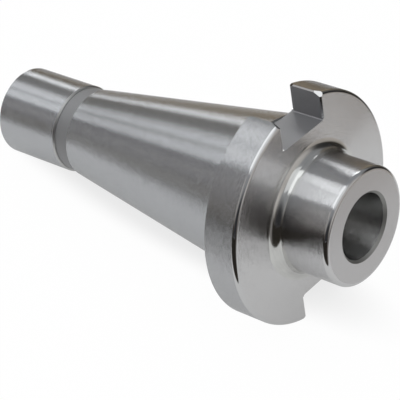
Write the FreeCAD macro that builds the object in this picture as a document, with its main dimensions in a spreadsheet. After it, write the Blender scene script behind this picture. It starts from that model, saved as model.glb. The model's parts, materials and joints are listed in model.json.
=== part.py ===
import FreeCAD, Part

import os

import Sketcher

# A reducing sleeve: a steep 7:24 taper shank, size 40, that takes a self-holding
# taper, size 2, in its nose. It is turned, milled and ground from one piece of steel.
# The body's own X axis is the tool's axis and points out of the nose. Its zero is the
# gauge plane, where the steep taper has its nominal diameter. The drive slots lie at
# its +Z and -Z sides. At rest the sleeve lies on its lower slot edges and on the end
# of its pilot, and the frame's origin is under the middle of it, on the floor.

SIZES = [
    ("gauge_diameter", 44.45, "steep taper at the gauge plane"),
    ("taper_rise", 7, "the steep taper loses this much diameter"),
    ("taper_run", 24, "over this much length"),
    ("taper_length", 65.4, "gauge plane to the taper's small end"),
    ("neck_diameter", 24, "relief between the taper and the pilot"),
    ("neck_length", 5, "relief between the taper and the pilot"),
    ("pilot_diameter", 25.3, "cylindrical end of the shank"),
    ("pilot_length", 23, "cylindrical end of the shank"),
    ("pilot_end_chamfer", 1, "at the far end"),
    ("pilot_neck_chamfer", 0.4, "at the end beside the neck"),
    ("undercut_width", 1.6, "gauge plane to the flange's rear face"),
    ("undercut_diameter", 43.4, "floor of the groove behind the flange"),
    ("undercut_chamfer", 0.5, "where that floor meets the flange"),
    ("flange_diameter", 63, "drive flange"),
    ("flange_thickness", 10, "drive flange"),
    ("flange_front_chamfer", 0.8, "front edge of the rim"),
    ("flange_rear_chamfer", 0.3, "rear edge of the rim"),
    ("slot_width", 16.1, "drive slot, wall to wall"),
    ("slot_floor_height", 22.5, "drive slot's floor above the tool's axis"),
    ("slot_corner_radius", 0.4, "where its floor meets a wall"),
    ("nose_diameter", 32, "collar in front of the flange"),
    ("nose_length", 16.2, "flange's front face to the end of the nose"),
    ("nose_fillet", 3, "where the collar meets the flange"),
    ("nose_rounding", 1.15, "outer edge of the nose's end face"),
    ("socket_diameter", 17.78, "self-holding taper at its mouth"),
    ("socket_run", 20.02, "length in which that taper loses 1 mm of diameter"),
    ("socket_chamfer", 0.4, "at its mouth"),
    ("clearance_diameter", 14.9, "straight bore past the socket"),
    ("clearance_depth", 67, "nose's end face to the floor of that bore"),
    ("through_diameter", 11.5, "passage for a drawbar"),
    ("thread_core_diameter", 14, "tapping bore for the 16 mm coarse drawbar thread"),
    ("thread_depth", 36, "pilot's end face to the end of that bore"),
    ("drill_point_angle", 118, "at its bottom"),
    ("counterbore_diameter", 17, "in front of the thread"),
    ("counterbore_depth", 7, "pilot's end face to its shoulder"),
    ("centre_diameter", 20, "turning centre at the pilot's end face"),
    ("centre_angle", 60, "turning centre"),
]

# Places along the tool's axis.
FLANGE_REAR = "sizes.undercut_width"
FLANGE_FRONT = f"{FLANGE_REAR} + sizes.flange_thickness"
NOSE_END = f"{FLANGE_FRONT} + sizes.nose_length"
TAPER_END = "-sizes.taper_length"
PILOT_START = f"{TAPER_END} - sizes.neck_length"
PILOT_END = f"{PILOT_START} - sizes.pilot_length"
CLEARANCE_END = f"{NOSE_END} - sizes.clearance_depth"

# Distances from the tool's axis.
GAUGE = "sizes.gauge_diameter / 2"
TAPER_SMALL = f"{GAUGE} - sizes.taper_length * sizes.taper_rise / sizes.taper_run / 2"
UNDERCUT = "sizes.undercut_diameter / 2"
NECK = "sizes.neck_diameter / 2"
PILOT = "sizes.pilot_diameter / 2"
RIM = "sizes.flange_diameter / 2"
NOSE = "sizes.nose_diameter / 2"
SOCKET = "sizes.socket_diameter / 2"
CLEARANCE = "sizes.clearance_diameter / 2"
THROUGH = "sizes.through_diameter / 2"
THREAD_CORE = "sizes.thread_core_diameter / 2"
COUNTERBORE = "sizes.counterbore_diameter / 2"
CENTRE = "sizes.centre_diameter / 2"
SLOT_WALL = "sizes.slot_width / 2"
SLOT_FLOOR = "sizes.slot_floor_height"

# The sleeve tips until the end of its pilot meets the floor that its slot edges lie on.
EDGE_DROP = f"sqrt(({RIM})^2 - ({SLOT_WALL})^2)"
REAR_CONTACT = f"({PILOT_END} + sizes.pilot_end_chamfer)"
FRONT_CONTACT = f"({FLANGE_REAR} + sizes.flange_rear_chamfer)"
TIP = f"atan(({EDGE_DROP} - {PILOT}) / ({FRONT_CONTACT} - {REAR_CONTACT}))"
AXIS_LIFT = f"{PILOT} * cos(pose.tip) - {REAR_CONTACT} * sin(pose.tip)"
NOSE_REACH = (
    f"({NOSE_END} - sizes.nose_rounding) * cos(pose.tip)"
    f" + ({NOSE} - sizes.nose_rounding) * sin(pose.tip) + sizes.nose_rounding"
)
PILOT_REACH = (
    f"({PILOT_END}) * cos(pose.tip)"
    f" - ({PILOT} - sizes.pilot_end_chamfer) * sin(pose.tip)"
)

TOLERANCE = 1e-4


def fill_sheet(doc):
    """Put the driving sizes, in millimetres and degrees, into the document's sheet."""
    sheet = doc.addObject("Spreadsheet::Sheet", "sizes")
    for row, (alias, size, meaning) in enumerate(SIZES, start=1):
        sheet.set(f"A{row}", meaning)
        sheet.set(f"B{row}", str(size))
        sheet.setAlias(f"B{row}", alias)
    doc.recompute()


def add_pose(doc):
    """Keep the angle that the sleeve tips by, bound to the sizes, for its placement."""
    pose = doc.addObject("App::VarSet", "pose")
    pose.addProperty("App::PropertyAngle", "tip")
    pose.setExpression("tip", TIP)
    doc.recompute()


def value(feature, expression):
    """Work out an expression on the sheet's sizes as a plain number."""
    result = feature.evalExpression(expression)
    return float(getattr(result, "Value", result))


def sketch_on(body, role, name):
    """Attach an empty sketch to one of the body's own origin planes."""
    plane = next(item for item in body.Origin.OriginFeatures if item.Role == role)
    sketch = body.newObject("Sketcher::SketchObject", name)
    sketch.AttachmentSupport = (plane, [""])
    sketch.MapMode = "FlatFace"
    return sketch


def place_point(sketch, line, expression, kind, own_axis, origin=(-1, 1)):
    """Bind one coordinate of a line's start point, or set the point on the axis."""
    if expression == "0":
        sketch.addConstraint(Sketcher.Constraint("PointOnObject", line, 1, own_axis))
        return
    distance = value(sketch, expression)
    index = sketch.addConstraint(Sketcher.Constraint(kind, *origin, line, 1, distance))
    sketch.setExpression(f"Constraints[{index}]", expression)


def closed_outline(sketch, corners):
    """Draw a closed outline of straight lines through corners given as expressions."""
    points = [
        FreeCAD.Vector(value(sketch, across), value(sketch, up), 0)
        for across, up in corners
    ]
    for start, end in zip(points, points[1:] + points[:1]):
        sketch.addGeometry(Part.LineSegment(start, end), False)
    for line in range(len(corners)):
        following = (line + 1) % len(corners)
        sketch.addConstraint(Sketcher.Constraint("Coincident", line, 2, following, 1))
    for line, (across, up) in enumerate(corners):
        place_point(sketch, line, across, "DistanceX", own_axis=-2)
        place_point(sketch, line, up, "DistanceY", own_axis=-1)


def turned(body, kind, name, corners):
    """Turn a closed outline about the tool's axis, to add or to remove steel."""
    sketch = sketch_on(body, "XZ_Plane", f"{name}_section")
    closed_outline(sketch, corners)
    feature = body.newObject(f"PartDesign::{kind}", name)
    feature.Profile = sketch
    feature.ReferenceAxis = (sketch, ["H_Axis"])
    feature.Angle = 360
    body.Document.recompute()
    return feature


def dressed(body, kind, name, edges, size):
    """Round or chamfer the named edges of the body as it stands."""
    feature = body.newObject(f"PartDesign::{kind}", name)
    feature.Base = (body.Document.getObject(feature.BaseFeature.Name), edges)
    feature.setExpression("Radius" if kind == "Fillet" else "Size", size)
    body.Document.recompute()
    return feature


def ring(body, along, across):
    """Name the circular edge at this place on the axis and distance from it."""
    place, radius = value(body, along), value(body, across)
    return [
        f"Edge{number}"
        for number, edge in enumerate(body.Tip.Shape.Edges, start=1)
        if isinstance(edge.Curve, Part.Circle)
        and abs(edge.Curve.Center.x - place) < TOLERANCE
        and abs(edge.Curve.Radius - radius) < TOLERANCE
    ]


def slot_floor_corners(body):
    """Name the edges along the tool's axis where a slot's floor meets its walls."""
    wall, floor = value(body, SLOT_WALL), value(body, SLOT_FLOOR)
    return [
        f"Edge{number}"
        for number, edge in enumerate(body.Tip.Shape.Edges, start=1)
        if edge.BoundBox.YLength < TOLERANCE
        and abs(abs(edge.CenterOfMass.y) - wall) < TOLERANCE
        and abs(abs(edge.CenterOfMass.z) - floor) < TOLERANCE
    ]


def check_cut(feature):
    """Stop if a feature that should remove steel took none away."""
    if feature.Shape.Volume >= feature.BaseFeature.Shape.Volume - TOLERANCE:
        raise RuntimeError(f"{feature.Name} removes nothing")


def outer_form(body):
    """Turn the shank, the flange and the nose, and dress their edges."""
    turned(body, "Revolution", "blank", [
        (PILOT_END, "0"),
        (PILOT_END, PILOT),
        (PILOT_START, PILOT),
        (PILOT_START, NECK),
        (TAPER_END, NECK),
        (TAPER_END, TAPER_SMALL),
        ("0", GAUGE),
        ("0", UNDERCUT),
        (FLANGE_REAR, UNDERCUT),
        (FLANGE_REAR, RIM),
        (FLANGE_FRONT, RIM),
        (FLANGE_FRONT, NOSE),
        (NOSE_END, NOSE),
        (NOSE_END, "0"),
    ])
    for kind, name, along, across, size in (
        ("Chamfer", "undercut_corner", FLANGE_REAR, UNDERCUT, "sizes.undercut_chamfer"),
        ("Fillet", "nose_root", FLANGE_FRONT, NOSE, "sizes.nose_fillet"),
        ("Fillet", "nose_edge", NOSE_END, NOSE, "sizes.nose_rounding"),
        ("Chamfer", "rim_front_edge", FLANGE_FRONT, RIM, "sizes.flange_front_chamfer"),
        ("Chamfer", "rim_rear_edge", FLANGE_REAR, RIM, "sizes.flange_rear_chamfer"),
        ("Chamfer", "pilot_neck_edge", PILOT_START, PILOT, "sizes.pilot_neck_chamfer"),
        ("Chamfer", "pilot_end_edge", PILOT_END, PILOT, "sizes.pilot_end_chamfer"),
    ):
        dressed(body, kind, name, ring(body, along, across), size)


def drive_slots(body):
    """Mill the two opposite slots through the flange, and round their corners."""
    sketch = sketch_on(body, "YZ_Plane", "slot_section")
    closed_outline(sketch, [
        (f"-({SLOT_WALL})", SLOT_FLOOR),
        (SLOT_WALL, SLOT_FLOOR),
        (SLOT_WALL, f"{RIM} + {SLOT_WALL}"),
        (f"-({SLOT_WALL})", f"{RIM} + {SLOT_WALL}"),
    ])
    slot = body.newObject("PartDesign::Pocket", "upper_slot")
    slot.Profile = sketch
    slot.Type = "Length"
    slot.Reversed = True
    slot.setExpression("Length", f"{FLANGE_FRONT} + sizes.flange_thickness / 2")
    body.Document.recompute()
    check_cut(slot)

    both = body.newObject("PartDesign::Mirrored", "lower_slot")
    both.Originals = [slot]
    both.MirrorPlane = (
        next(item for item in body.Origin.OriginFeatures if item.Role == "XY_Plane"),
        [""],
    )
    body.Tip = both
    body.Document.recompute()

    dressed(body, "Fillet", "slot_corners", slot_floor_corners(body),
            "sizes.slot_corner_radius")


def taper_socket(body):
    """Bore the self-holding taper and the straight clearance behind it."""
    run_out = f"({SOCKET} - {CLEARANCE}) * 2 * sizes.socket_run"
    socket = turned(body, "Groove", "taper_socket", [
        (NOSE_END, "0"),
        (NOSE_END, SOCKET),
        (f"{NOSE_END} - {run_out}", CLEARANCE),
        (CLEARANCE_END, CLEARANCE),
        (CLEARANCE_END, "0"),
    ])
    check_cut(socket)
    dressed(body, "Chamfer", "socket_mouth", ring(body, NOSE_END, SOCKET),
            "sizes.socket_chamfer")


def drawbar_bore(body):
    """Bore the turning centre, counterbore, tapping bore and passage from the pilot."""
    centre_run = f"({CENTRE} - {COUNTERBORE}) / tan(sizes.centre_angle / 2 * 1deg)"
    point_run = f"({THREAD_CORE} - {THROUGH}) / tan(sizes.drill_point_angle / 2 * 1deg)"
    shoulder = f"{PILOT_END} + sizes.counterbore_depth"
    thread_end = f"{PILOT_END} + sizes.thread_depth"
    bore = turned(body, "Groove", "drawbar_bore", [
        (PILOT_END, "0"),
        (PILOT_END, CENTRE),
        (f"{PILOT_END} + {centre_run}", COUNTERBORE),
        (shoulder, COUNTERBORE),
        (f"{shoulder} + {COUNTERBORE} - {THREAD_CORE}", THREAD_CORE),
        (thread_end, THREAD_CORE),
        (f"{thread_end} + {point_run}", THROUGH),
        (CLEARANCE_END, THROUGH),
        (CLEARANCE_END, "0"),
    ])
    check_cut(bore)


def lay_down(body):
    """Tip the sleeve onto its slot edges and pilot, with its middle over the origin."""
    body.Placement = FreeCAD.Placement(
        FreeCAD.Vector(), FreeCAD.Rotation(FreeCAD.Vector(0, 1, 0), -1)
    )
    body.setExpression("Placement.Rotation.Angle", "-pose.tip")
    body.setExpression("Placement.Base.x", f"-({NOSE_REACH} + {PILOT_REACH}) / 2")
    body.setExpression("Placement.Base.z", AXIS_LIFT)
    body.Document.recompute()


def reducing_sleeve(doc):
    """Make the sleeve, which is one piece of steel."""
    body = doc.addObject("PartDesign::Body", "reducing_sleeve")
    body.Label = "reducing_sleeve"
    doc.recompute()
    outer_form(body)
    drive_slots(body)
    taper_socket(body)
    drawbar_bore(body)
    lay_down(body)
    return body


def check(doc, bodies):
    """Stop if anything failed to build, or a sub-part isn't a single sound solid."""
    for item in doc.Objects:
        if "Invalid" in item.State or "Error" in item.State:
            raise RuntimeError(f"{item.Name} failed: {item.State}")
    for body in bodies:
        shape = body.Shape
        if shape.isNull() or not shape.isValid() or len(shape.Solids) != 1:
            raise RuntimeError(f"{body.Label} is not one valid solid")


def main():
    """Build the document and write one file for each sub-part."""
    doc = FreeCAD.newDocument("reducing_sleeve")
    fill_sheet(doc)
    add_pose(doc)
    bodies = [reducing_sleeve(doc)]
    doc.recompute()
    check(doc, bodies)
    os.makedirs("parts", exist_ok=True)
    for body in bodies:
        body.Shape.exportStep(f"parts/{body.Label}.step")
        box = body.Shape.optimalBoundingBox()
        print(body.Label, "volume", round(body.Shape.Volume), box)


main()
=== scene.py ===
"""The looks of a reducing sleeve: ground, turned and polished steel in a plain studio."""

import json
import logging
import math
from dataclasses import dataclass, field
from enum import Enum
from typing import Any

import bmesh
import bpy
from mathutils import Matrix, Vector
from mathutils.kdtree import KDTree


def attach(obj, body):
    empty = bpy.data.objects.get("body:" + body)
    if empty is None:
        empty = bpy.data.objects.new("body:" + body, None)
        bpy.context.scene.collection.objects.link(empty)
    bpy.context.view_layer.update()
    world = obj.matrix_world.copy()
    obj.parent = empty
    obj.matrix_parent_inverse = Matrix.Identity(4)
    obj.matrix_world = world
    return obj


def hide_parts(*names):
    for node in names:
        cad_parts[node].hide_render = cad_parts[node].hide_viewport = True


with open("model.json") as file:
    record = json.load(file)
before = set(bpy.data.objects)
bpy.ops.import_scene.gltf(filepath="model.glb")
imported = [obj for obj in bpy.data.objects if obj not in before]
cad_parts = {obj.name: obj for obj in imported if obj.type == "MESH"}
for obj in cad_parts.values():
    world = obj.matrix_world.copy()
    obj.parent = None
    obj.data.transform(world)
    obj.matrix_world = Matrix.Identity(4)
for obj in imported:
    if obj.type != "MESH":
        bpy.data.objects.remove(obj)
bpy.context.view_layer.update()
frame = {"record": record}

LOG = logging.getLogger("reducing_sleeve")
MM = 0.001
TURNING_STEPS = 256
ROUNDING_STEPS = 10
SHARP_ANGLE = math.radians(24)
# Two places that are nearer than this count as one.
CLOSE = 0.01 * MM
# The share of a glow's spread that has its full colour.
GLOW_CORE = 0.35
PATCHES_PER_METRE = 260.0
PATCH_DETAIL = 3.0
MARK_DETAIL = 2.0
# A mark's width, as a share of its length.
MARK_SLENDERNESS = 0.045
# The ends of a finish's range of tones, as shares of its colour.
DARKER, LIGHTER = 0.8, 1.2
STAND_DISTANCE = 2.0
Colour = tuple[float, float, float]


def mount(name: str) -> dict[str, Any]:
    """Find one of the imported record's mounts.

    Args:
        name: The mount's name.

    Returns:
        The mount's entry in the record.
    """
    return next(item for item in frame["record"]["mounts"] if item["name"] == name)


@dataclass(frozen=True)
class ToolAxis:
    """The sleeve's own frame: X points out of the nose, zero is the gauge plane."""

    gauge_point: Vector = field(
        default_factory=lambda: Vector(mount("steep_taper_shank")["pos_m"])
    )
    outwards: Vector = field(
        default_factory=lambda: Vector(mount("nose_face")["axis"]).normalized()
    )

    @property
    def tip(self) -> float:
        """The angle by which the axis rises towards the nose."""
        return math.atan2(self.outwards.z, self.outwards.x)

    def placement(self) -> Matrix:
        """Turn and move the sleeve's own frame to where the sleeve lies."""
        turn = Matrix.Rotation(-self.tip, 4, "Y")
        return Matrix.Translation(self.gauge_point) @ turn


class Signal:
    """A number in a node tree, on which Python's operators add Math nodes."""

    def __init__(self, graph: "Graph", socket: bpy.types.NodeSocket) -> None:
        """Wrap one socket of a node tree."""
        self.graph = graph
        self.socket = socket

    def maths(self, operation: str, *numbers: "Signal | float") -> "Signal":
        """Add a Math node on some numbers, in their order.

        Args:
            operation: The Math node's operation.
            numbers: The node's inputs.

        Returns:
            The node's result.
        """
        inputs = dict(enumerate(numbers))
        node = self.graph.node("ShaderNodeMath", {"operation": operation}, inputs)
        return Signal(self.graph, node.outputs[0])

    def __add__(self, other: "Signal | float") -> "Signal":
        """Add a number."""
        return self.maths("ADD", self, other)

    def __radd__(self, other: float) -> "Signal":
        """Add this to a number."""
        return self.maths("ADD", other, self)

    def __sub__(self, other: "Signal | float") -> "Signal":
        """Take a number away."""
        return self.maths("SUBTRACT", self, other)

    def __rsub__(self, other: float) -> "Signal":
        """Take this away from a number."""
        return self.maths("SUBTRACT", other, self)

    def __mul__(self, other: "Signal | float") -> "Signal":
        """Multiply by a number."""
        return self.maths("MULTIPLY", self, other)

    def __pow__(self, other: "Signal | float") -> "Signal":
        """Raise to a power."""
        return self.maths("POWER", self, other)

    def smoothed(self, start: float, end: float) -> "Signal":
        """Rise smoothly from 0 at the start to 1 at the end.

        Args:
            start: The number that gives 0.
            end: The number that gives 1.

        Returns:
            A number from 0 to 1.
        """
        node = self.graph.node(
            "ShaderNodeMapRange",
            {"interpolation_type": "SMOOTHSTEP", "clamp": True},
            {"Value": self, "From Min": start, "From Max": end},
        )
        return Signal(self.graph, node.outputs["Result"])


class Graph:
    """An emptied node tree and the one method that adds nodes to it."""

    def __init__(self, owner: bpy.types.Material | bpy.types.World) -> None:
        """Empty the node tree of a material or a world.

        Args:
            owner: What the tree belongs to.
        """
        owner.use_nodes = True
        self.tree = owner.node_tree
        self.tree.nodes.clear()

    def node(
        self,
        kind: str,
        settings: dict[str, Any] | None = None,
        inputs: dict[str | int, Any] | None = None,
    ) -> bpy.types.Node:
        """Add a node, apply its settings and then fill its sockets.

        Args:
            kind: The node's type.
            settings: Properties of the node, set first.
            inputs: A value, a socket or a signal for each named or numbered input.

        Returns:
            The new node.
        """
        node = self.tree.nodes.new(kind)
        for name, value in (settings or {}).items():
            setattr(node, name, value)
        for name, value in (inputs or {}).items():
            source = value.socket if isinstance(value, Signal) else value
            if isinstance(source, bpy.types.NodeSocket):
                self.tree.links.new(source, node.inputs[name])
            else:
                node.inputs[name].default_value = source
        return node

    def blend(self, share: Signal, low: Any, high: Any) -> bpy.types.NodeSocket:
        """Mix two colours.

        Args:
            share: How much of the second colour shows, from 0 to 1.
            low: The first colour or its socket.
            high: The second colour or its socket.

        Returns:
            The mixed colour's socket.
        """
        node = self.node(
            "ShaderNodeMix",
            {"data_type": "RGBA", "clamp_factor": True},
            {0: share, 6: opaque(low), 7: opaque(high)},
        )
        return node.outputs[2]

    def glows(
        self, direction: bpy.types.NodeSocket, shade: Any, glows: "tuple[Glow, ...]"
    ) -> bpy.types.NodeSocket:
        """Lay soft-edged lighter and darker patches over a shade.

        Args:
            direction: The direction of length 1 in which a place is seen.
            shade: The colour or socket between the patches.
            glows: The patches, the last on top.

        Returns:
            The resulting colour's socket.
        """
        for glow in glows:
            facing = self.node(
                "ShaderNodeVectorMath",
                {"operation": "DOT_PRODUCT"},
                {0: direction, 1: bearing(glow.azimuth, glow.elevation)},
            )
            edge = math.cos(math.radians(glow.spread))
            core = math.cos(math.radians(glow.spread * GLOW_CORE))
            share = Signal(self, facing.outputs["Value"]).smoothed(edge, core)
            shade = self.blend(share, shade, glow.colour)
        return shade

    def finish(self, surface: bpy.types.NodeSocket, output: str) -> None:
        """Connect the surface to a new output node.

        Args:
            surface: The shader's socket.
            output: The output node's type.
        """
        self.node(output, None, {"Surface": surface})


@dataclass(frozen=True)
class Glow:
    """A soft-edged patch of light or shade: where it is seen and its spread, in degrees."""

    azimuth: float
    elevation: float
    spread: float
    colour: Colour


def bearing(azimuth: float, elevation: float) -> Vector:
    """Give the direction of length 1 at two angles.

    Args:
        azimuth: The angle from X towards Y, in degrees.
        elevation: The angle above the level, in degrees.

    Returns:
        The direction.
    """
    turn, rise = math.radians(azimuth), math.radians(elevation)
    level = math.cos(rise)
    return Vector((level * math.cos(turn), level * math.sin(turn), math.sin(rise)))


def opaque(colour: Any) -> Any:
    """Give a plain colour its alpha, and leave a socket as it is."""
    return (*colour, 1.0) if isinstance(colour, tuple) else colour


class Marks(Enum):
    """What each of a tool's fine marks follows."""

    ALONG = "a mark keeps its place along the axis, as on a turned wall or across a slot"
    OUTWARDS = "a mark keeps its distance from the axis, as on a turned face"


@dataclass(frozen=True)
class Finish:
    """How one kind of machined surface looks.

    The pitch is the size of the tool's marks, and scatter times pitch is their height. Mottle
    says how much the roughness varies, and tone how much the colour does.
    """

    name: str
    colour: Colour
    roughness: float
    marks: Marks = Marks.ALONG
    pitch: float = 0.25 * MM
    scatter: float = 0.0
    mottle: float = 0.04
    tone: float = 0.12

    def material(self, axis: ToolAxis) -> bpy.types.Material:
        """Make the finish's material.

        Args:
            axis: The sleeve's own frame, which the marks follow.

        Returns:
            The new material.
        """
        material = bpy.data.materials.new(self.name)
        graph = Graph(material)
        marks = self.mark_pattern(graph, axis)
        place = self.tool_place(graph, axis)
        patches = self.noise(graph, place, PATCHES_PER_METRE, PATCH_DETAIL)
        shade = (marks - 0.5) * self.tone + (patches - 0.5) * self.tone + 0.5
        dark = tuple(channel * DARKER for channel in self.colour)
        light = tuple(channel * LIGHTER for channel in self.colour)
        rough = self.roughness + (patches - 0.5) * self.mottle + (marks - 0.5) * self.mottle
        inputs = {
            "Base Color": graph.blend(shade, dark, light),
            "Metallic": 1.0,
            "Roughness": rough,
        }
        if self.scatter:
            height = self.scatter * self.pitch
            bump = graph.node(
                "ShaderNodeBump", None, {"Strength": 1.0, "Distance": height, "Height": marks}
            )
            inputs["Normal"] = bump.outputs[0]
        shader = graph.node("ShaderNodeBsdfPrincipled", None, inputs)
        graph.finish(shader.outputs[0], "ShaderNodeOutputMaterial")
        return material

    def tool_place(self, graph: Graph, axis: ToolAxis) -> bpy.types.NodeSocket:
        """Give the place on the sleeve in the sleeve's own frame.

        Args:
            graph: The material's node tree.
            axis: The sleeve's own frame.

        Returns:
            The place's socket, in metres.
        """
        place = graph.node("ShaderNodeTexCoord").outputs["Object"]
        turned = graph.node(
            "ShaderNodeMapping",
            {"vector_type": "TEXTURE"},
            {
                "Vector": place,
                "Location": axis.gauge_point,
                "Rotation": (0.0, -axis.tip, 0.0),
            },
        )
        return turned.outputs[0]

    def mark_pattern(self, graph: Graph, axis: ToolAxis) -> Signal:
        """Make the fine, slender marks that the tool left.

        Args:
            graph: The material's node tree.
            axis: The sleeve's own frame.

        Returns:
            The height of the marks, from 0 to 1.
        """
        parts = graph.node(
            "ShaderNodeSeparateXYZ", None, {0: self.tool_place(graph, axis)}
        )
        along, side, up = (Signal(graph, socket) for socket in parts.outputs)
        counted = along
        if self.marks is Marks.OUTWARDS:
            counted = (side * side + up * up) ** 0.5
        place = graph.node(
            "ShaderNodeCombineXYZ",
            None,
            {0: counted, 1: side * MARK_SLENDERNESS, 2: up * MARK_SLENDERNESS},
        )
        return self.noise(graph, place.outputs[0], 1.0 / self.pitch, MARK_DETAIL)

    def noise(
        self, graph: Graph, place: bpy.types.NodeSocket, scale: float, detail: float
    ) -> Signal:
        """Add a noise texture.

        Args:
            graph: The material's node tree.
            place: The socket of the place that it is read at.
            scale: The number of its hills in a metre.
            detail: The number of its finer layers.

        Returns:
            The height of the noise, from 0 to 1.
        """
        node = graph.node(
            "ShaderNodeTexNoise",
            None,
            {"Vector": place, "Scale": scale, "Detail": detail},
        )
        return Signal(graph, node.outputs[0])


STEEL: Colour = (0.58, 0.59, 0.605)
GROUND_PILOT = Finish("ground_pilot", STEEL, 0.16, pitch=0.06 * MM, scatter=0.9)
NECK = Finish("turned_neck", (0.49, 0.49, 0.495), 0.7, pitch=0.1 * MM, scatter=0.5)
GROUND_TAPER = Finish("ground_taper", STEEL, 0.15, pitch=0.06 * MM, scatter=0.9)
GROUND_RIM = Finish("ground_rim", (0.58, 0.585, 0.595), 0.17, pitch=0.06 * MM, scatter=1.1)
POLISHED = Finish("polished_edge", (0.73, 0.73, 0.73), 0.09, mottle=0.02, tone=0.08)
POLISHED_ROOT = Finish("polished_root", (0.74, 0.74, 0.72), 0.13, mottle=0.12, tone=0.6)
FLANGE_FACE = Finish(
    "fine_turned_face", (0.745, 0.74, 0.74), 0.14, Marks.OUTWARDS, 0.08 * MM, 0.75
)
POLISHED_NOSE = Finish(
    "polished_nose", (0.7, 0.7, 0.705), 0.1, pitch=0.08 * MM, scatter=0.8
)
NOSE_FACE = Finish(
    "satin_face", (0.66, 0.65, 0.65), 0.3, Marks.OUTWARDS, 0.1 * MM, 0.4
)
GROUND_BORE = Finish("ground_bore", (0.8, 0.8, 0.79), 0.14, pitch=0.1 * MM, scatter=1.0)
SOCKET_CHAMFER = Finish(
    "socket_chamfer", (0.42, 0.42, 0.405), 0.5, pitch=0.1 * MM, scatter=0.5
)
TURNED_END = Finish(
    "turned_end", (0.65, 0.65, 0.64), 0.3, Marks.OUTWARDS, 0.2 * MM, 0.5
)
DRILLED = Finish("drilled_bore", (0.55, 0.545, 0.54), 0.38, pitch=0.2 * MM, scatter=1.0)
MILLED_SLOT = Finish(
    "milled_slot", (0.43, 0.43, 0.44), 0.55, pitch=0.08 * MM, scatter=0.3
)
FINISHES = (
    GROUND_PILOT,
    NECK,
    GROUND_TAPER,
    GROUND_RIM,
    POLISHED,
    POLISHED_ROOT,
    FLANGE_FACE,
    POLISHED_NOSE,
    NOSE_FACE,
    GROUND_BORE,
    SOCKET_CHAMFER,
    TURNED_END,
    DRILLED,
    MILLED_SLOT,
)


@dataclass(frozen=True)
class Corner:
    """A corner of the turned outline, and the finish of the surface that follows it.

    A corner with a size is rounded in its number of steps, or chamfered if that is 1, and the
    dressing is the finish of the surface that this makes.
    """

    along: float
    across: float
    finish: Finish
    size: float = 0.0
    steps: int = ROUNDING_STEPS
    dressing: Finish = POLISHED


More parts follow.
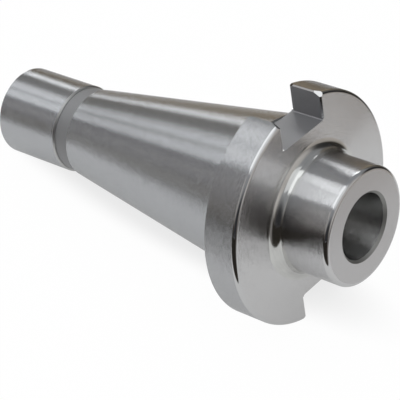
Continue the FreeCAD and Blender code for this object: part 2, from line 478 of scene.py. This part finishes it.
@dataclass
class SleeveBody:
    """The steel body: a turned outline with two milled drive slots.

    Lengths are in metres. Those along the axis count from the gauge plane, and those across
    it are radii. A rise is the radius gained in each unit of length.
    """

    axis: ToolAxis
    gauge: float = 22.225 * MM
    taper_rise: float = 7 / 48
    taper_end: float = -65.4 * MM
    taper_end_chamfer: float = 0.15 * MM
    gauge_chamfer: float = 0.1 * MM
    neck: float = 12 * MM
    pilot_start: float = -70.4 * MM
    pilot_end: float = -93.4 * MM
    pilot: float = 12.65 * MM
    pilot_end_chamfer: float = 1 * MM
    pilot_neck_chamfer: float = 0.4 * MM
    undercut: float = 21.7 * MM
    undercut_fillet: float = 0.5 * MM
    undercut_steps: int = 4
    flange_rear: float = 1.6 * MM
    flange_front: float = 11.6 * MM
    rim: float = 31.5 * MM
    rim_rounding: float = 1 * MM
    rim_rear_chamfer: float = 0.3 * MM
    nose: float = 16 * MM
    nose_end: float = 27.8 * MM
    nose_fillet: float = 3 * MM
    nose_fillet_steps: int = 16
    nose_rounding: float = 1.15 * MM
    socket: float = 8.89 * MM
    socket_rise: float = 1 / 20.02 / 2
    socket_chamfer: float = 0.7 * MM
    clearance: float = 7.45 * MM
    clearance_end: float = -39.2 * MM
    passage: float = 5.75 * MM
    thread_core: float = 7 * MM
    thread_root: float = 8.02 * MM
    thread_end: float = -60.5 * MM
    drilled_end: float = -57.4 * MM
    drill_point: float = 0.751 * MM
    counterbore: float = 8.5 * MM
    counterbore_end: float = -86.4 * MM
    centre: float = 10 * MM
    centre_run: float = 2.598 * MM
    slot_wall: float = 8.05 * MM
    slot_floor: float = 22.5 * MM
    slot_corner: float = 0.4 * MM
    slot_corner_steps: int = 5
    slot_break: float = 0.4 * MM
    filed_front: float = 1.15 * MM
    filed_rear: float = 0.75 * MM
    file_direction: tuple[float, float, float] = (0.42, 0.5, 0.76)
    cutter_run_in: float = 5 * MM
    cutter_run_out: float = 6 * MM
    cutter_spare: float = 4 * MM

    def outline(self) -> list[Corner]:
        """List the outline's corners.

        Returns:
            The corners from the pilot's end along the outside, and back along the inside.
        """
        taper_small = self.gauge + self.taper_end * self.taper_rise
        socket_end = self.nose_end - (self.socket - self.clearance) / self.socket_rise
        root_lead = self.counterbore_end + self.counterbore - self.thread_root
        root_end = self.thread_end - (self.thread_root - self.thread_core)
        return [
            Corner(self.pilot_end, self.centre, TURNED_END),
            Corner(self.pilot_end, self.pilot, GROUND_PILOT, self.pilot_end_chamfer, 1),
            Corner(
                self.pilot_start, self.pilot, TURNED_END, self.pilot_neck_chamfer, 1, TURNED_END
            ),
            Corner(self.pilot_start, self.neck, NECK),
            Corner(self.taper_end, self.neck, TURNED_END),
            Corner(self.taper_end, taper_small, GROUND_TAPER, self.taper_end_chamfer, 1),
            Corner(0.0, self.gauge, NECK, self.gauge_chamfer, 1),
            Corner(0.0, self.undercut, NECK),
            Corner(
                self.flange_rear,
                self.undercut,
                FLANGE_FACE,
                self.undercut_fillet,
                self.undercut_steps,
                NECK,
            ),
            Corner(self.flange_rear, self.rim, GROUND_RIM, self.rim_rear_chamfer, 1),
            Corner(self.flange_front, self.rim, FLANGE_FACE, self.rim_rounding),
            Corner(
                self.flange_front,
                self.nose,
                POLISHED_NOSE,
                self.nose_fillet,
                self.nose_fillet_steps,
                POLISHED_ROOT,
            ),
            Corner(self.nose_end, self.nose, NOSE_FACE, self.nose_rounding),
            Corner(
                self.nose_end, self.socket, GROUND_BORE, self.socket_chamfer, 1, SOCKET_CHAMFER
            ),
            Corner(socket_end, self.clearance, DRILLED),
            Corner(self.clearance_end, self.clearance, DRILLED),
            Corner(self.clearance_end, self.passage, DRILLED),
            Corner(self.drilled_end + self.drill_point, self.passage, DRILLED),
            Corner(self.drilled_end, self.thread_core, DRILLED),
            Corner(self.thread_end, self.thread_core, DRILLED),
            Corner(root_end, self.thread_root, DRILLED),
            Corner(root_lead, self.thread_root, DRILLED),
            Corner(self.counterbore_end, self.counterbore, DRILLED),
            Corner(self.pilot_end + self.centre_run, self.counterbore, TURNED_END),
        ]

    def build(self) -> bpy.types.Object:
        """Turn the body, mill its slots and dress it.

        Returns:
            The finished object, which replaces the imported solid.
        """
        body = new_object("sleeve", self.turned_mesh(), self.axis)
        cutter = new_object("slot_cutter", self.slot_cutter_mesh(), self.axis)
        cut = body.modifiers.new("slots", "BOOLEAN")
        cut.operation = "DIFFERENCE"
        cut.solver = "EXACT"
        cut.use_self = True
        cut.object = cutter
        apply_modifiers(body)
        bpy.data.objects.remove(cutter)
        smooth_with_sharp_edges(body)
        place(body, self.axis)
        return body

    def turned_mesh(self) -> bmesh.types.BMesh:
        """Turn the outline about the axis and give each ring of faces its finish.

        Returns:
            The closed mesh, in the sleeve's own frame.
        """
        mesh = bmesh.new()
        finish_of = mesh.edges.layers.int.new("finish")
        corners = self.outline()
        points = [mesh.verts.new((item.along, 0, item.across)) for item in corners]
        for index, corner in enumerate(corners):
            edge = mesh.edges.new((points[index], points[(index + 1) % len(points)]))
            edge[finish_of] = FINISHES.index(corner.finish)
        for point, corner in zip(points, corners):
            if corner.size:
                self.dress_corner(mesh, point, corner, finish_of)
        rings = self.ring_finder(mesh, finish_of)
        bmesh.ops.spin(
            mesh,
            geom=mesh.verts[:] + mesh.edges[:],
            cent=(0, 0, 0),
            axis=(1, 0, 0),
            angle=math.tau,
            steps=TURNING_STEPS,
            use_merge=True,
        )
        for face in mesh.faces:
            middle = face.calc_center_median()
            across = math.hypot(middle.y, middle.z)
            face.material_index = rings.find((middle.x, across, 0))[1]
        bmesh.ops.recalc_face_normals(mesh, faces=mesh.faces[:])
        return mesh

    def dress_corner(
        self,
        mesh: bmesh.types.BMesh,
        point: bmesh.types.BMVert,
        corner: Corner,
        finish_of: bmesh.types.BMLayerItem,
    ) -> None:
        """Round or chamfer one corner of the outline.

        Args:
            mesh: The outline's mesh.
            point: The corner's vertex.
            corner: The corner's sizes and finishes.
            finish_of: The layer that holds each edge's finish.
        """
        dressed = bmesh.ops.bevel(
            mesh,
            geom=[point],
            offset=corner.size,
            segments=corner.steps,
            profile=0.5,
            affect="VERTICES",
            material=-1,
        )
        ends = set(dressed["verts"])
        for edge in mesh.edges:
            if edge.verts[0] in ends and edge.verts[1] in ends:
                edge[finish_of] = FINISHES.index(corner.dressing)

    def ring_finder(
        self, mesh: bmesh.types.BMesh, finish_of: bmesh.types.BMLayerItem
    ) -> KDTree:
        """Make a table that gives the finish of the edge nearest to a place.

        Args:
            mesh: The outline's mesh.
            finish_of: The layer that holds each edge's finish.

        Returns:
            The finishes, by the places of the edges' middles.
        """
        rings = KDTree(len(mesh.edges))
        for edge in mesh.edges:
            middle = (edge.verts[0].co + edge.verts[1].co) / 2
            rings.insert((middle.x, middle.z, 0), edge[finish_of])
        rings.balance()
        return rings

    def slot_cutter_mesh(self) -> bmesh.types.BMesh:
        """Make what the two opposite slots are milled and deburred with.

        Returns:
            The cutters' mesh, in the sleeve's own frame.
        """
        mesh = bmesh.new()
        self.add_slot_block(mesh)
        for side in (-1, 1):
            self.add_edge_breaks(mesh, side * self.slot_wall)
        both = mesh.verts[:] + mesh.edges[:] + mesh.faces[:]
        bmesh.ops.mirror(mesh, geom=both, matrix=Matrix.Identity(4), axis="Z")
        bmesh.ops.recalc_face_normals(mesh, faces=mesh.faces[:])
        return mesh

    def add_slot_block(self, mesh: bmesh.types.BMesh) -> None:
        """Add the block that mills the upper slot, with its rounded inner corners.

        Args:
            mesh: The slot's cutter.
        """
        reach = self.rim + self.slot_wall
        start = self.flange_rear - self.cutter_run_out
        end = self.flange_front + self.cutter_run_in
        size = Vector((end - start, 2 * self.slot_wall, reach - self.slot_floor))
        middle = Vector(((start + end) / 2, 0, (reach + self.slot_floor) / 2))
        add_block(mesh, middle, size, Matrix.Identity(4), MILLED_SLOT)
        bottom = [
            edge
            for edge in mesh.edges
            if all(abs(vert.co.z - self.slot_floor) < CLOSE for vert in edge.verts)
            and abs(edge.verts[0].co.x - edge.verts[1].co.x) > CLOSE
        ]
        bmesh.ops.bevel(
            mesh,
            geom=bottom,
            offset=self.slot_corner,
            segments=self.slot_corner_steps,
            profile=0.5,
            affect="EDGES",
            material=-1,
        )

    def add_edge_breaks(self, mesh: bmesh.types.BMesh, wall: float) -> None:
        """Add the bars that break one slot wall's edges, and the file cuts at its corners.

        Args:
            mesh: The slot's cutter.
            wall: The wall's place across the slot.
        """
        top = math.sqrt(self.rim**2 - wall**2)
        side = self.slot_break * math.sqrt(2)
        tall = self.rim - self.slot_floor + self.cutter_spare
        high = self.slot_floor + self.slot_corner + tall / 2
        upright = Matrix.Rotation(math.radians(45), 4, "Z")
        for face in (self.flange_rear, self.flange_front):
            middle = Vector((face, wall, high))
            add_block(mesh, middle, Vector((side, side, tall)), upright, POLISHED)
        length = self.flange_front - self.flange_rear + self.cutter_spare
        lying = Matrix.Rotation(math.radians(45), 4, "X")
        middle = Vector(((self.flange_rear + self.flange_front) / 2, wall, top))
        add_block(mesh, middle, Vector((length, side, side)), lying, POLISHED)
        block = self.cutter_spare
        lean, aside, rise = self.file_direction
        for face, forwards, depth in (
            (self.flange_front, lean, self.filed_front),
            (self.flange_rear, -lean, self.filed_rear),
        ):
            filed = Vector((forwards, math.copysign(aside, -wall), rise)).normalized()
            corner = Vector((face, wall, top)) + filed * (block / 2 - depth)
            turn = filed.to_track_quat("Z", "Y").to_matrix().to_4x4()
            add_block(mesh, corner, Vector((block, block, block)), turn, POLISHED)


@dataclass
class DrawbarThread:
    """The coarse internal thread, as one coil of steel on the bore's wall."""

    axis: ToolAxis
    pitch: float = 2 * MM
    crest: float = 7 * MM
    root: float = 8.06 * MM
    flank: float = math.radians(30)
    start: float = -85.3 * MM
    turns: int = 11
    steps_per_turn: int = 96

    def build(self) -> bpy.types.Object:
        """Wind the thread's section into a coil.

        Returns:
            The finished object.
        """
        mesh = bmesh.new()
        crest_half = self.pitch / 8
        root_half = crest_half + (self.root - self.crest) * math.tan(self.flank)
        section = (
            (-root_half, self.root),
            (-crest_half, self.crest),
            (crest_half, self.crest),
            (root_half, self.root),
        )
        points = [mesh.verts.new((self.start + x, 0, across)) for x, across in section]
        for index, point in enumerate(points):
            mesh.edges.new((point, points[(index + 1) % len(points)]))
        bmesh.ops.spin(
            mesh,
            geom=mesh.verts[:] + mesh.edges[:],
            cent=(0, 0, 0),
            axis=(1, 0, 0),
            dvec=(self.pitch / self.steps_per_turn, 0, 0),
            angle=math.tau * self.turns,
            steps=self.steps_per_turn * self.turns,
            use_merge=False,
        )
        ends = [edge for edge in mesh.edges if edge.is_boundary]
        bmesh.ops.holes_fill(mesh, edges=ends, sides=len(section))
        bmesh.ops.recalc_face_normals(mesh, faces=mesh.faces[:])
        for face in mesh.faces:
            face.material_index = FINISHES.index(DRILLED)
        coil = new_object("drawbar_thread", mesh, self.axis)
        smooth_with_sharp_edges(coil)
        place(coil, self.axis)
        return coil


def new_object(name: str, mesh: bmesh.types.BMesh, axis: ToolAxis) -> bpy.types.Object:
    """Make an object of a mesh, with a material slot for each finish.

    Args:
        name: The object's name.
        mesh: The mesh, which is freed.
        axis: The sleeve's own frame, for the materials.

    Returns:
        The new object, still in the sleeve's own frame.
    """
    data = bpy.data.meshes.new(name)
    mesh.to_mesh(data)
    mesh.free()
    for finish in FINISHES:
        ready = bpy.data.materials.get(finish.name)
        data.materials.append(ready or finish.material(axis))
    item = bpy.data.objects.new(name, data)
    bpy.context.scene.collection.objects.link(item)
    return item


def add_block(
    mesh: bmesh.types.BMesh, middle: Vector, size: Vector, turn: Matrix, finish: Finish
) -> None:
    """Add a turned block to a mesh.

    Args:
        mesh: The mesh that gets the block.
        middle: The block's middle.
        size: The block's three sides.
        turn: The block's rotation.
        finish: The finish of its faces.
    """
    matrix = Matrix.Translation(middle) @ turn @ Matrix.Diagonal((*size, 1))
    made = bmesh.ops.create_cube(mesh, size=1, matrix=matrix)["verts"]
    for face in {face for vert in made for face in vert.link_faces}:
        face.material_index = FINISHES.index(finish)


def apply_modifiers(item: bpy.types.Object) -> None:
    """Put the modifiers' result in place of an object's mesh, and drop the modifiers.

    Args:
        item: The object.
    """
    depsgraph = bpy.context.evaluated_depsgraph_get()
    evaluated = item.evaluated_get(depsgraph)
    item.data = bpy.data.meshes.new_from_object(evaluated, depsgraph=depsgraph)
    item.modifiers.clear()


def smooth_with_sharp_edges(item: bpy.types.Object) -> None:
    """Shade an object smooth, apart from the edges that turn by more than a rounding's step.

    Args:
        item: The object.
    """
    mesh = bmesh.new()
    mesh.from_mesh(item.data)
    for face in mesh.faces:
        face.smooth = True
    for edge in mesh.edges:
        edge.smooth = len(edge.link_faces) == 2 and edge.calc_face_angle() < SHARP_ANGLE
    mesh.to_mesh(item.data)
    mesh.free()
    weighted = item.modifiers.new("weighted_normals", "WEIGHTED_NORMAL")
    weighted.keep_sharp = True


def place(item: bpy.types.Object, axis: ToolAxis) -> None:
    """Move the mesh itself from the sleeve's own frame to where the sleeve lies."""
    item.data.transform(axis.placement())
    item.data.update()


@dataclass(frozen=True)
class Panel:
    """A flat soft light that faces a target."""

    name: str
    place: Vector
    size: tuple[float, float]
    radiance: float
    roll: float = 0.0
    colour: Colour = (0.97, 0.99, 1.0)

    def build(self, target: Vector) -> bpy.types.Object:
        """Hang the light and face it towards the target.

        Args:
            target: The point that the light faces.

        Returns:
            The new light.
        """
        light = bpy.data.lights.new(self.name, "AREA")
        light.shape = "RECTANGLE"
        light.size, light.size_y = self.size
        light.energy = self.radiance * self.size[0] * self.size[1] * math.pi
        light.color = self.colour
        item = bpy.data.objects.new(self.name, light)
        item.location = self.place
        facing = (target - self.place).to_track_quat("-Z", "Y").to_matrix()
        item.rotation_euler = (facing @ Matrix.Rotation(self.roll, 3, "Z")).to_euler()
        bpy.context.scene.collection.objects.link(item)
        return item


@dataclass(frozen=True)
class CeilingPanel:
    """A soft light in the ceiling: its sides in metres and its turn in degrees."""

    name: str
    left: float
    right: float
    near: float
    far: float
    radiance: float
    turn: float = 0.0

    def build(self, height: float) -> None:
        """Hang the light so that it faces straight down.

        Args:
            height: The height of the ceiling.
        """
        turn = math.radians(self.turn)
        middle = Vector(((self.left + self.right) / 2, (self.near + self.far) / 2, height))
        middle = Matrix.Rotation(turn, 3, "Z") @ middle
        size = (self.right - self.left, self.far - self.near)
        panel = Panel(self.name, middle, size, self.radiance, turn)
        panel.build(middle - Vector((0, 0, 1)))


@dataclass(frozen=True)
class StandingPanel:
    """A soft light on a stand: where it is seen, how large, and its roll, in degrees."""

    name: str
    azimuth: float
    elevation: float
    wide: float
    tall: float
    radiance: float
    roll: float = 0.0

    def build(self) -> None:
        """Stand the light so that it faces the sleeve."""
        middle = bearing(self.azimuth, self.elevation) * STAND_DISTANCE
        size = tuple(
            2 * STAND_DISTANCE * math.tan(math.radians(angle / 2))
            for angle in (self.wide, self.tall)
        )
        panel = Panel(self.name, middle, size, self.radiance, math.radians(self.roll))
        panel.build(Vector((0, 0, 0)))


@dataclass
class Studio:
    """A white floor, a dim room, soft lights and the camera.

    The camera sees a white floor that keeps the sleeve's soft shadow, faded by painted white
    outside a fixed ellipse round the sleeve. The steel reflects a white sheet, given by its
    left, right, near and far sides, on a darker table: a painted reflection seen only by the
    steel, with painted shade towards the camera and painted patches of light and shade.
    """

    floor_radius: float = 6.0
    floor_sides: int = 96
    floor_grey: float = 0.8
    # A fixed ellipse round the sleeve: inside it the floor keeps more of the real shadow, and
    # outside it painted white fades that shadow for the camera.
    shadow_middle: tuple[float, float] = (-4.6 * MM, 4.9 * MM)
    shadow_reach: tuple[float, float] = (0.11, 0.0245)
    shadow_edge: tuple[float, float] = (0.41, 0.756)
    white_in_shadow: float = 0.767
    white_in_the_clear: float = 0.98
    white_reflected: float = 0.7
    reflection_dimming: float = 0.47
    sheet: tuple[float, float, float, float] = (-0.16, 0.135, -0.09, 0.122)
    table_gap: float = 0.2 * MM
    table_growth: float = 40.0
    # The table's painted shade: darkest towards the camera, lighter away from it, seen only in
    # the steel.
    painted_shade_rise: tuple[float, float] = (-0.13, 0.02)
    painted_shade_near: Colour = (0.023, 0.02, 0.017)
    painted_shade_far: Colour = (0.13, 0.113, 0.094)
    room_rise: tuple[float, float] = (0.0, 0.7)
    room_low: Colour = (0.084, 0.074, 0.065)
    room_high: Colour = (0.27, 0.277, 0.29)
    ceiling: float = 1.2
    fill_height: float = 1.3
    fill_side: float = 2.6
    fill: float = 0.97
    camera_place: tuple[float, float, float] = (0.21872, -0.25591, 0.30719)
    camera_look: tuple[float, float, float] = (-0.4801, 0.5763, -0.6613)
    camera_lens: float = 145.5

    def build(self) -> None:
        """Build everything that isn't the sleeve."""
        self.build_floor()
        self.build_table()
        self.build_world()
        self.build_lights()
        self.build_camera()

    def build_floor(self) -> None:
        """Lay the white floor."""
        mesh = bmesh.new()
        bmesh.ops.create_circle(
            mesh, cap_ends=True, segments=self.floor_sides, radius=self.floor_radius
        )
        self.stage_object("floor", mesh).data.materials.append(self.floor_material())

    def floor_material(self) -> bpy.types.Material:
        """Make the floor's material, white for the camera and dimmer in the steel.

        Returns:
            The new material.
        """
        material = bpy.data.materials.new("floor")
        graph = Graph(material)
        path = graph.node("ShaderNodeLightPath").outputs
        seen = Signal(graph, path["Is Camera Ray"])
        reflected = Signal(graph, path["Is Glossy Ray"])
        # Painted white for the camera, stronger outside the shadow's ellipse, fades the real
        # shadow there.
        clearing = self.white_in_the_clear - self.white_in_shadow
        share = seen * (self.white_in_shadow + self.outside_shadow_ellipse(graph) * clearing)
        share = share + reflected * self.white_reflected
        lit = graph.node(
            "ShaderNodeBsdfDiffuse", None, {"Color": opaque((self.floor_grey,) * 3)}
        )
        strength = 1.0 - reflected * self.reflection_dimming
        white = graph.node("ShaderNodeEmission", None, {"Strength": strength})
        mixed = graph.node(
            "ShaderNodeMixShader", None, {0: share, 1: lit.outputs[0], 2: white.outputs[0]}
        )
        graph.finish(mixed.outputs[0], "ShaderNodeOutputMaterial")
        return material

    def outside_shadow_ellipse(self, graph: Graph) -> Signal:
        """Give a fixed ellipse round the sleeve, outside which painted white fades the real
        shadow.

        Args:
            graph: The floor's node tree.

        Returns:
            A number that rises from 0 inside the ellipse to 1 well outside it.
        """
        place = graph.node("ShaderNodeTexCoord").outputs["Object"]
        centred = graph.node(
            "ShaderNodeVectorMath",
            {"operation": "SUBTRACT"},
            {0: place, 1: (*self.shadow_middle, 0)},
        )
        long, wide = self.shadow_reach
        scaled = graph.node(
            "ShaderNodeVectorMath",
            {"operation": "MULTIPLY"},
            {0: centred.outputs[0], 1: (1 / long, 1 / wide, 0)},
        )
        length = graph.node(
            "ShaderNodeVectorMath", {"operation": "LENGTH"}, {0: scaled.outputs[0]}
        )
        return Signal(graph, length.outputs["Value"]).smoothed(*self.shadow_edge)

    @property
    def camera_turn(self) -> float:
        """The turn of the camera's view round the vertical, away from Y."""
        return math.atan2(self.camera_look[1], self.camera_look[0]) - math.pi / 2

    def build_table(self) -> None:
        """Lay the darker table round the white sheet, a painted reflection that only the steel
        sees.
        """
        mesh = bmesh.new()
        bmesh.ops.create_grid(mesh, x_segments=1, y_segments=1, size=0.5)
        left, right, near, far = self.sheet
        size = (right - left, far - near, 1)
        middle = ((left + right) / 2, (near + far) / 2, self.table_gap)
        bmesh.ops.delete(mesh, geom=mesh.faces[:], context="FACES_ONLY")
        bmesh.ops.scale(mesh, vec=size, verts=mesh.verts[:])
        bmesh.ops.translate(mesh, vec=middle, verts=mesh.verts[:])
        grown = bmesh.ops.extrude_edge_only(mesh, edges=mesh.edges[:])["geom"]
        outer = [item for item in grown if isinstance(item, bmesh.types.BMVert)]
        growth = (self.table_growth, self.table_growth, 1)
        bmesh.ops.scale(mesh, vec=growth, verts=outer)
        bmesh.ops.recalc_face_normals(mesh, faces=mesh.faces[:])
        turn = Matrix.Rotation(self.camera_turn, 3, "Z")
        bmesh.ops.rotate(mesh, matrix=turn, verts=mesh.verts[:])
        table = self.stage_object("table", mesh)
        table.visible_camera = False
        table.visible_diffuse = False
        table.visible_shadow = False
        table.visible_transmission = False
        table.data.materials.append(self.table_material())

    def table_material(self) -> bpy.types.Material:
        """Make the table's material: painted shade, lighter away from the camera, under painted
        patches of light and shade.

        Returns:
            The new material.
        """
        material = bpy.data.materials.new("table")
        graph = Graph(material)
        place = graph.node("ShaderNodeTexCoord").outputs["Object"]
        ahead = (-math.sin(self.camera_turn), math.cos(self.camera_turn), 0)
        away = graph.node(
            "ShaderNodeVectorMath", {"operation": "DOT_PRODUCT"}, {0: place, 1: ahead}
        )
        rise = Signal(graph, away.outputs["Value"]).smoothed(*self.painted_shade_rise)
        shade = graph.blend(rise, self.painted_shade_near, self.painted_shade_far)
        heading = graph.node("ShaderNodeVectorMath", {"operation": "NORMALIZE"}, {0: place})
        shade = graph.glows(heading.outputs[0], shade, TABLE_GLOWS)
        dark = graph.node("ShaderNodeBsdfDiffuse", None, {"Color": shade})
        graph.finish(dark.outputs[0], "ShaderNodeOutputMaterial")
        return material

    def stage_object(self, name: str, mesh: bmesh.types.BMesh) -> bpy.types.Object:
        """Make an object that belongs to the stage.

        Args:
            name: The object's name.
            mesh: The mesh, which is freed.

        Returns:
            The new object.
        """
        data = bpy.data.meshes.new(name)
        mesh.to_mesh(data)
        mesh.free()
        item = bpy.data.objects.new(name, data)
        bpy.context.scene.collection.objects.link(item)
        return item

    def build_world(self) -> None:
        """Surround the stage with a dim room, which the camera sees as white."""
        world = bpy.data.worlds.new("room")
        bpy.context.scene.world = world
        graph = Graph(world)
        direction = graph.node("ShaderNodeTexCoord").outputs["Generated"]
        parts = graph.node("ShaderNodeSeparateXYZ", None, {0: direction})
        rise = Signal(graph, parts.outputs[2]).smoothed(*self.room_rise)
        room = graph.blend(rise, self.room_low, self.room_high)
        room = graph.glows(direction, room, ROOM_GLOWS)
        lit = graph.node("ShaderNodeBackground", None, {"Color": room, "Strength": 1.0})
        white = graph.node("ShaderNodeBackground", None, {"Color": (1, 1, 1, 1)})
        path = graph.node("ShaderNodeLightPath").outputs
        mixed = graph.node(
            "ShaderNodeMixShader",
            None,
            {0: path["Is Camera Ray"], 1: lit.outputs[0], 2: white.outputs[0]},
        )
        graph.finish(mixed.outputs[0], "ShaderNodeOutputWorld")

    def build_lights(self) -> None:
        """Hang the ceiling's lights and an unreflected fill, and stand the others."""
        for ceiling_panel in CEILING_PANELS:
            ceiling_panel.build(self.ceiling)
        above = Vector((0, 0, self.fill_height))
        fill = Panel("overhead_fill", above, (self.fill_side, self.fill_side), self.fill)
        fill.build(Vector((0, 0, 0))).visible_glossy = False
        for standing_panel in STANDING_PANELS:
            standing_panel.build()

    def build_camera(self) -> None:
        """Set the camera at the photograph's viewing angle."""
        data = bpy.data.cameras.new("camera")
        data.lens = self.camera_lens
        data.sensor_width = 36.0
        data.clip_start = 0.01
        camera = bpy.data.objects.new("camera", data)
        camera.location = self.camera_place
        camera.rotation_euler = Vector(self.camera_look).to_track_quat("-Z", "Y").to_euler()
        bpy.context.scene.collection.objects.link(camera)
        bpy.context.scene.camera = camera


ROOM_GLOWS = (
    Glow(14.0, 16.0, 42.0, (0.503, 0.484, 0.471)),
    Glow(100.0, 14.0, 22.0, (0.129, 0.116, 0.0968)),
    Glow(123.0, 6.0, 24.0, (0.271, 0.226, 0.168)),
    Glow(64.0, 6.0, 24.0, (0.0323, 0.0323, 0.0323)),
    Glow(300.0, 3.0, 42.0, (0.0323, 0.0323, 0.0355)),
    Glow(240.0, 24.0, 26.0, (0.335, 0.323, 0.31)),
    Glow(213.0, 20.0, 24.0, (0.323, 0.323, 0.348)),
    Glow(156.0, 21.0, 15.0, (0.348, 0.335, 0.31)),
    Glow(220.0, 3.0, 10.0, (0.13, 0.13, 0.135)),
    Glow(223.0, 27.0, 11.0, (0.55, 0.54, 0.53)),
)
# Painted patches of light and shade on the table, which the steel shows as reflections.
TABLE_GLOWS = (
    Glow(128.0, 0.0, 18.0, (0.258, 0.213, 0.161)),
    Glow(120.0, 0.0, 9.0, (0.323, 0.265, 0.194)),
    Glow(100.0, 0.0, 16.0, (0.123, 0.11, 0.0903)),
    Glow(32.0, 0.0, 26.0, (0.387, 0.355, 0.329)),
    Glow(2.0, 0.0, 22.0, (0.194, 0.181, 0.174)),
    Glow(68.0, 0.0, 18.0, (0.0323, 0.029, 0.0258)),
)
CEILING_PANELS = (
    CeilingPanel("key_near", -3.4, 0.22, -0.86, -0.25, 0.85),
    CeilingPanel("key_far", -3.4, 0.22, -0.31, 0.175, 0.85, -6.0),
    CeilingPanel("ceiling_right", 0.22, 1.3, -0.68, 0.33, 0.465),
)
STANDING_PANELS = (
    StandingPanel("strip_low", 144.0, 13.0, 6.5, 20.0, 1.15),
    StandingPanel("strip_high", 137.5, 30.0, 9.0, 16.0, 1.48),
    StandingPanel("strip_top", 123.0, 36.5, 32.0, 9.0, 1.6, -32.0),
)


def main() -> None:
    """Build the stage and the sleeve, and report each piece."""
    logging.basicConfig(level=logging.INFO, format="%(message)s")
    bpy.context.scene.view_settings.view_transform = "Standard"
    axis = ToolAxis()
    Studio().build()
    for part in (SleeveBody(axis), DrawbarThread(axis)):
        piece = part.build()
        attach(piece, "root")
        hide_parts("reducing_sleeve")
        LOG.info("%s has %d faces", piece.name, len(piece.data.polygons))


if __name__ == "__main__":
    main()
